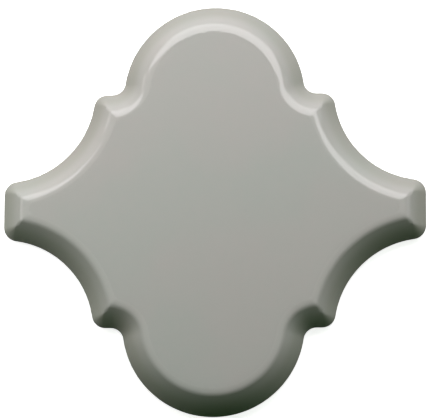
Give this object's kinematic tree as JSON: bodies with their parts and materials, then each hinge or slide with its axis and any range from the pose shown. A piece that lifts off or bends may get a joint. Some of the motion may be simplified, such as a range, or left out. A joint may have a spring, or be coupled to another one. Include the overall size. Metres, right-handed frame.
{
  "type": "moroccan arabesque tile",
  "caption": "Bevelled arabesque wall tile with rounded lobes, stepped shoulders and side tips, glazed on the face, for an interlocking pattern.",
  "frame": {"origin": "middle of the back, on the plane that the tile rests on", "axes": "+X across the side tips, +Y up through the two lobes as the tile hangs on a wall, +Z out of the glazed face"},
  "size_m": [0.15, 0.1462, 0.01],
  "materials": {
    "glazed_body": "gloss glaze, sage grey"
  },
  "bodies": {
    "root": {"arabesque_tile": "glazed_body"}
  },
  "joints": []
}
